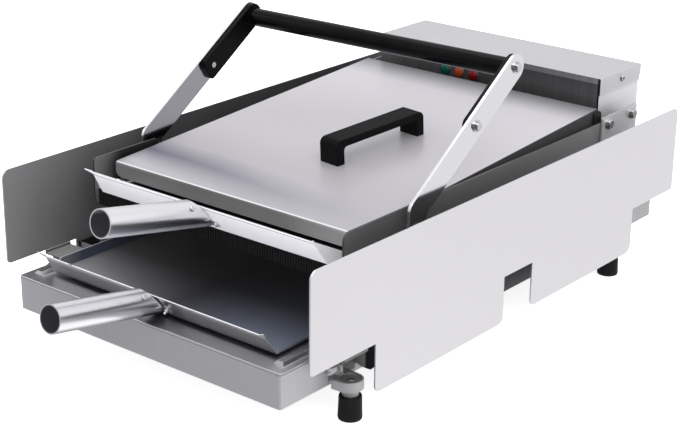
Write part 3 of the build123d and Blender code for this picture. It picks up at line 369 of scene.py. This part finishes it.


# Base: front faces painted lighter at the left end, darker left of centre and lighter again at the right, painted
# light and shade; the right side painted near-black from 260 to 430 mm deep, painted shade, lighter at its front and
# back ends.
steel_base = metal("base sheet", g(0.52, 0.03), 0.40, "Z", 0.4, streak=0.02,
                   faces=((-1, "Y", ("X", ((-0.17, g(0.72, 0.04)), (-0.05, g(0.60, 0.04)), (0.17, g(0.66, 0.04)))), 1.0),
                          (1, "X", ("Y", ((ym(180), g(0.47, 0.03)), (ym(260), g(0.07, 0.15)), (ym(430), g(0.07, 0.15)),
                                     (ym(560), g(0.42, 0.03)))), 0.8)))
# Rails: front faces painted darker, painted shade.
steel_rail = metal("rail sheet", g(0.50), 0.34, "Y", 0.4, mottled=0.02, faces=((-1, "Y", g(0.40), 0.6),))
# Base top plate: front and right-facing faces painted darker than the top, painted shade.
steel_top = metal("plate sheet", g(0.70), 0.32, "X", 0.4, scratches=0.05,
                  faces=((-1, "Y", g(0.66, 0.04), 1.0), (1, "X", g(0.52, 0.03), 1.0)))
# Right guard: the inward-facing side painted dark, painted shade.
steel_guard = metal("guard sheet", (0.775, 0.76, 0.775), 0.36, "Y", 0.3, bevel=0.0007, mottled=0.01, edge_gain=1.10,
                    faces=((-1, "X", g(0.30), 0.8),))
# Left guard: the inward-facing side painted dark and darker towards the back, painted shade; a shaded copy of the
# guard sheet.
steel_guard_l = metal("guard sheet left", (0.775, 0.76, 0.775), 0.36, "Y", 0.3, bevel=0.0007, mottled=0.01, edge_gain=1.10,
                      faces=((1, "X", ("Y", ((ym(-30), g(0.24)), (ym(150), g(0.14)), (ym(330), g(0.075)), (ym(600), g(0.055)))),
                              0.25),))
BOX_TOP = 0.2154
# Control box front: painted dark in a run across the width (lighter at both ends) and along the height (lighter
# towards the bottom), painted reflection and shade, with a bright painted highlight strip along the top 6 mm and a
# near-black painted shade line along the right edge; the right side painted darker towards the top, painted shade.
FRONT_X = ((-0.152, g(0.13)), (-0.122, g(0.10)), (-0.097, g(0.085)), (0.0, g(0.060)), (0.1480, g(0.110)), (0.1488, g(0.006)))
FRONT_Z = ((0.184, g(1.15)), (BOX_TOP - 0.0066, g(0.55)), (BOX_TOP - 0.0060, g(1.7)))
steel_box = metal("box sheet", (0.70, 0.685, 0.705), 0.33, "Z", 0.5, streak=0.012, streak_front=0.16,
                  faces=((-1, "Y", ("*", ("X", FRONT_X), ("Z", FRONT_Z)), 0.5), (1, "X", ("Z", ((0.193, g(0.63)), (0.200, g(0.45)))), 0.2)))
# Lid top: painted darker at the front, lighter in the middle and dark towards the back next to the box, painted shade
# and a painted reflection of the box front; band adds a painted reflection of the bail arm and rim a painted highlight
# on the front bend. Its front face is painted dark, lighter at the ends, and its sides near-black, painted shade.
LID_Y = ((ym(121), (0.43, 0.42, 0.44)), (ym(200), (0.47, 0.457, 0.476)), (ym(280), (0.525, 0.51, 0.53)),
         (ym(488), (0.575, 0.56, 0.58)), (ym(506), (0.45, 0.44, 0.46)), (ym(536), (0.19, 0.187, 0.197)))
LID_X = ((-0.15, g(1.0)), (0.0, g(1.0)), (0.09, g(1.02)), (0.15, g(1.03)))
steel_lid = metal("lid sheet", ("*", ("Y", LID_Y), ("X", LID_X)), 0.36, "X", 0.3, mottled=0.006, rough_var=0.02,
                  metallic=0.34, band=(ym(167), 0.07, 0.033, 0.31, 0.92), rim=(0.76, 0.75, 0.77), streak_front=0.07,
                  faces=((-1, "Y", ("X", ((-0.158, g(0.215, -0.02)), (-0.06, g(0.145, -0.02)), (0.07, g(0.16, -0.02)),
                                          (0.158, g(0.36, -0.02)))), 0.25),
                         (1, "X", g(0.060), 0.0), (-1, "X", g(0.006), 0.0)))
# Right side plate, base bottom cover and middle rear bar: near-black as painted shade; the right outward face painted
# in mid-grey tones along the depth, painted light and shade.
steel_shaded = metal("shaded plate", g(0.07), 0.36, "Y", 0.4, edge_gain=1.0, metallic=0.8,
                   faces=((1, "X", ("Y", ((ym(100), g(0.38)), (ym(180), g(0.33)), (ym(300), g(0.44)), (ym(560), g(0.52)))), 0.8),))
# Left side plate: its inward-facing side painted dark and near-black towards the back, a painted reflection of the
# lid's side; its outward side painted mid-grey.
steel_shaded_l = metal("shaded plate left", g(0.07), 0.36, "Y", 0.4, edge_gain=1.0, metallic=0.8,
                     faces=((1, "X", ("Y", ((ym(98), g(0.19)), (ym(112), g(0.13)), (ym(135), g(0.02)))), 0.3),
                            (-1, "X", g(0.30), 0.9)))
# Ribbed bar painted near-black with little metallic, painted shade under the lid.
steel_front = metal("ribbed bar", g(0.011, 0.1), 0.5, "Z", 0.5, mottled=0.03, edge_gain=1.0, metallic=0.1)
# Lower tray: its floor is painted from light at the front to near-black at the back, darker in the middle and bluish
# at the right, painted shade and a painted reflection under the upper unit, with a faint painted glow on upward faces;
# upward faces above 84 mm painted pale, painted light; right-facing sides painted dark bluish, painted shade.
BED_Y = ((ym(26), g(0.56)), (ym(60), g(0.34)), (ym(110), g(0.10)), (ym(190), g(0.09)))
BED_X = ((-0.14, g(1.0)), (0.0, (0.17, 0.175, 0.20)), (0.10, (0.40, 0.45, 0.58)))
steel_tray = metal("lower tray sheet", g(0.48, 0.04), 0.30, "Y", 0.3, mottled=0.01, streak=0.01, lift=((1, "Z", 0.006),),
                   faces=((1, "Z", ("Z", ((0.078, ("*", ("Y", BED_Y), ("X", BED_X))), (0.084, g(0.80)))), 0.45),
                          (1, "X", ("Y", ((ym(30), g(0.22)), (ym(60), (0.075, 0.09, 0.125)))), 0.4)))
# Upper tray: front faces painted a little darker at the left and crossed by a thin dark line under the hem, a painted
# shade line; the front and right-facing faces carry a faint painted glow, and the right-facing faces are painted pale,
# painted light.
HEM = (0.82, 0.82, 0.84)
steel_tray_u = metal("upper tray sheet", g(0.66, 0.04), 0.32, "X", 0.3, mottled=0.01, lift=((-1, "Y", 0.19), (1, "X", 0.16)),
                     faces=((-1, "Y", ("*", ("X", ((-0.15, g(0.84)), (-0.05, g(1.0)))),
                                       ("Z", ((0.1642, HEM), (0.1645, g(0.10)), (0.1649, g(0.10)), (0.1652, HEM)))), 0.1),
                            (1, "X", g(0.78), 0.2)))
# Right arm: front faces painted lighter, painted light.
steel_arm = metal("arm bar", g(0.76), 0.12, "Y", 0.15, mottled=0.005, rough_var=0.02, edge_gain=1.04,
                  faces=((-1, "Y", g(0.85), 1.0),))
# Left arm: front faces painted lighter, painted light, and its right-facing side painted darker, a painted reflection.
steel_arm_l = metal("arm bar left", g(0.76), 0.14, "Y", 0.15, mottled=0.005, rough_var=0.02, edge_gain=1.04,
                    faces=((-1, "Y", g(0.85), 1.0), (1, "X", g(0.46, 0.03), 1.0)))
# Lower tray handle: the underside painted dark, painted shade, and the bore given a painted glow.
steel_tube = metal("tube lower", g(0.80, 0.03), 0.28, "Y", 0.02, bevel=0.00004, mottled=0.004, rough_var=0.005,
                   faces=((-1, "Z", g(0.17, 0.06), 1.0),),
                   bore=((ym(13.1), 0.0885), (ym(-109.3), 0.1107), 0.0123))
# Upper tray handle: the underside painted bluish grey, a painted reflection of the tray below, and the bore given a
# painted glow.
steel_tube_u = metal("tube upper", g(0.84, 0.03), 0.28, "Y", 0.02, bevel=0.00004, mottled=0.004, rough_var=0.005,
                     faces=((-1, "Z", (0.68, 0.70, 0.76), 0.5),),
                     bore=((ym(78.2), 0.1571), (ym(-45.9), 0.1820), 0.0123))
# Bolts and screws: front faces painted dark and tops pale, painted shade and light.
steel_bolt = metal("bolt zinc", g(0.60), 0.22, "X", 0.3, bevel=0.0003, mottled=0.04,
                   faces=((-1, "Y", g(0.16), 0.9), (1, "Z", g(0.75), 1.0)))
steel_stud = metal("stud zinc", g(0.42), 0.32, "Y", 0.3, bevel=0.0003, mottled=0.04)
steel_pin = metal("pin", g(0.10), 0.35, "X", 0.3, bevel=0.0003, mottled=0.04, metallic=0.7)
# Hinge ears and pins painted near-black so they sink into the shaded gap, painted shade.
steel_ear = metal("ear", g(0.015), 0.5, "Y", 0.3, metallic=0.1)
# Right bracket, guides and top sheet: right-facing faces painted lighter, painted light.
steel_bracket = metal("bracket sheet", g(0.50), 0.36, "Y", 0.4, mottled=0.02, scratches=0.05, metallic=0.6,
                      faces=((1, "X", g(0.68), 0.5),))
# Left bracket: a darker copy of the bracket sheet, painted shade.
steel_bracket_l = metal("bracket sheet left", g(0.20), 0.40, "Y", 0.4, mottled=0.02, scratches=0.05, metallic=0.6)
# Foot brackets and rest posts: painted darker above 41 mm, and upward faces painted from dark to mid-grey with height,
# painted shade.
steel_post = metal("post sheet", ("Z", ((0.0400, g(0.35)), (0.0412, g(0.15)))), 0.42, "Y", 0.4, mottled=0.05, scratches=0.05,
                   metallic=0.6, faces=((1, "Z", ("Z", ((0.0395, g(0.20)), (0.0405, g(0.30)), (0.060, g(0.44)))), 0.5),))
# Guard channels: front faces painted mid-grey inboard of 183 mm and black further out, painted shade.
steel_chan = metal("channel sheet", g(0.012), 0.5, "Y", 0.4, mottled=0.03, metallic=0.0,
                   faces=((-1, "Y", ("X", ((0.183, g(0.16)), (0.1855, g(0.012)))), 0.1),))
steel_foot = metal("foot metal", g(0.34), 0.40, "Z", 0.5, bevel=0.0006, mottled=0.04)
alu_plate = metal("hot plate", g(0.42), 0.42, "X", 0.8, mottled=0.06, scratches=0.3, fine=1400.0, smear=0.05,
                  faces=((-1, "Z", g(0.05), 0.5),))
rod_metal = metal("heating rod", (0.22, 0.19, 0.18), 0.52, "Y", 0.4, mottled=0.2, fine=1500.0)
black = plastic("handle plastic", (0.0035, 0.0035, 0.004), 0.45, spec=0.04)
black_grip = plastic("grip plastic", (0.0015, 0.0015, 0.002), 0.15, spec=0.085, pit=0.05)
black_soft = plastic("black moulding", (0.012, 0.012, 0.013), 0.46)
ivory = plastic("terminal ivory", (0.72, 0.70, 0.62), 0.5, pit=0.2)
foot_rub = rubber("foot rubber", (0.004, 0.004, 0.005))
pad = wool("mineral wool")

set_mat(steel_base, "base_shell")
set_mat(steel_top, "base_top_plate")
set_mat(steel_rail, "guide_rails")
set_mat(steel_shaded, "base_bottom_cover", "side_plate_right", "middle_rear_bar")
set_mat(steel_shaded_l, "side_plate_left")
set_mat(steel_front, "middle_front_bar")
set_mat(steel_guard, "guard_right")
set_mat(steel_guard_l, "guard_left")
set_mat(steel_bracket, "hinge_bracket_right", "upper_guides", "middle_top_sheet")
set_mat(steel_bracket_l, "hinge_bracket_left")
set_mat(steel_post, "foot_brackets", "rest_posts")
set_mat(steel_chan, "guard_channels")
set_mat(steel_ear, "lid_hinge_ears", "lid_hinge_pins")
set_mat(steel_box, "control_box_shell", "control_box_cover")
set_mat(steel_lid, "lid_cover")
set_mat(steel_tray, "lower_tray")
set_mat(steel_tray_u, "upper_tray")
set_mat(steel_arm, "bail_arm_right")
set_mat(steel_arm_l, "bail_arm_left")
set_mat(steel_tube, "lower_tray_handle")
set_mat(steel_tube_u, "upper_tray_handle")
set_mat(steel_stud, "bracket_bolts")
set_mat(steel_pin, "bail_stop_pins", "bail_pivot_bolts", "lamp_bezels")
set_mat(steel_bolt, "base_screws", "box_cover_screws", "hinge_bolts",
        "bail_bolts", "lid_handle_screws", "lower_tray_fasteners", "upper_tray_fasteners", "thermostats")
set_mat(steel_foot, "foot_caps")
set_mat(alu_plate, "lower_platen", "middle_platen", "lid_platen")
set_mat(rod_metal, "lower_heating_elements", "middle_heating_elements", "lid_heating_elements")
set_mat(pad, "lower_insulation", "lid_insulation")
set_mat(black, "lid_handle")
set_mat(black_grip, "bail_grip")
set_mat(black_soft, "cord_gland", "switch_frame", "switch_rocker", "contactor")
set_mat(ivory, "terminal_block")
set_mat(foot_rub, "foot_rubbers")
set_mat(lens("green lens", (0.0, 0.050, 0.032), 0.10), "lamp_green")
set_mat(lens("orange lens", (0.21, 0.032, 0.006), 0.10), "lamp_orange")
set_mat(lens("red lens", (0.11, 0.002, 0.005), 0.10), "lamp_red")


# ------------------------------------------------------------------ floor and light
def make_floor():
    me = bpy.data.meshes.new("floor")
    bm = bmesh.new()
    bmesh.ops.create_grid(bm, x_segments=8, y_segments=8, size=6.0)
    bm.to_mesh(me)
    bm.free()
    fl = bpy.data.objects.new("floor", me)
    scene.collection.objects.link(fl)
    fl.location = (0, 0, -0.0002)
    k = Mat("pale floor")
    cloud = k.noise(k.co, 3.0, 3.0, 0.5)
    k.link(k.mix(k.remap(cloud, 0.3, 0.7, 0, 1), (0.90, 0.90, 0.905), (0.93, 0.93, 0.93)), k.b.inputs["Base Color"])
    k.b.inputs["Roughness"].default_value = 0.9
    k.b.inputs["Specular IOR Level"].default_value = 0.1
    k.b.inputs["Emission Color"].default_value = (1, 1, 1, 1)
    k.b.inputs["Emission Strength"].default_value = 0.82
    me.materials.append(k.m)
    fl.visible_glossy = False


make_floor()


def make_world():
    """Studio surroundings: a soft pale room with a bright side and a dimmer side."""
    w = bpy.data.worlds.new("studio")
    scene.world = w
    w.use_nodes = True
    t = w.node_tree
    t.nodes.clear()
    out = t.nodes.new("ShaderNodeOutputWorld")
    tc = t.nodes.new("ShaderNodeTexCoord")

    def lobe(direction, sharp, value):
        d = Vector(direction).normalized()
        vm = t.nodes.new("ShaderNodeVectorMath")
        vm.operation = "DOT_PRODUCT"
        t.links.new(tc.outputs["Generated"], vm.inputs[0])
        vm.inputs[1].default_value = d
        mr = t.nodes.new("ShaderNodeMapRange")
        mr.interpolation_type = "SMOOTHSTEP"
        mr.inputs[1].default_value = sharp
        mr.inputs[2].default_value = 1.0
        mr.inputs[3].default_value = 0.0
        mr.inputs[4].default_value = value
        t.links.new(vm.outputs["Value"], mr.inputs[0])
        return mr.outputs[0]

    total = None
    for args in (((0, 0, 1), -0.3, 0.35), ((0.59, 0.73, -0.35), 0.2, 0.55), ((0.6, -0.5, 0.6), 0.3, 0.5),
                 ((-0.59, 0.73, 0.35), 0.55, 0.25), ((-0.8, -0.2, 0.5), 0.5, 0.35), ((0, 0, -1), 0.3, 0.5)):
        v = lobe(*args)
        if total is None:
            total = v
        else:
            ad = t.nodes.new("ShaderNodeMath")
            ad.operation = "ADD"
            t.links.new(total, ad.inputs[0])
            t.links.new(v, ad.inputs[1])
            total = ad.outputs[0]
    ad = t.nodes.new("ShaderNodeMath")
    ad.operation = "ADD"
    ad.inputs[1].default_value = 0.42
    t.links.new(total, ad.inputs[0])
    room = t.nodes.new("ShaderNodeBackground")
    room.inputs["Color"].default_value = (0.985, 0.985, 1.0, 1)
    t.links.new(ad.outputs[0], room.inputs["Strength"])
    plain = t.nodes.new("ShaderNodeBackground")
    plain.inputs["Color"].default_value = (1, 1, 1, 1)
    plain.inputs["Strength"].default_value = 1.0
    lp = t.nodes.new("ShaderNodeLightPath")
    mix = t.nodes.new("ShaderNodeMixShader")
    t.links.new(lp.outputs["Is Camera Ray"], mix.inputs[0])
    t.links.new(room.outputs[0], mix.inputs[1])
    t.links.new(plain.outputs[0], mix.inputs[2])
    t.links.new(mix.outputs[0], out.inputs["Surface"])


make_world()


def area(name, loc, target, size, power, color=(1, 1, 1), size_y=None):
    d = bpy.data.lights.new(name, "AREA")
    d.energy = power
    d.color = color
    d.shape = "RECTANGLE"
    d.size = size
    d.size_y = size_y or size
    o = bpy.data.objects.new(name, d)
    scene.collection.objects.link(o)
    o.location = loc
    o.rotation_mode = "QUATERNION"
    o.rotation_quaternion = (Vector(target) - Vector(loc)).to_track_quat("-Z", "Y")
    return o


area("key", (1.4, -0.9, 1.9), (0, 0, 0.1), 1.4, 14.0)
area("top", (-0.2, 0.3, 2.2), (0, 0, 0.1), 1.8, 12.0)
area("fill", (-1.9, -0.7, 1.0), (0, 0, 0.1), 1.2, 5.0)

scene.view_settings.view_transform = "Standard"
scene.view_settings.look = "None"
scene.view_settings.exposure = 0.0
scene.view_settings.gamma = 1.0
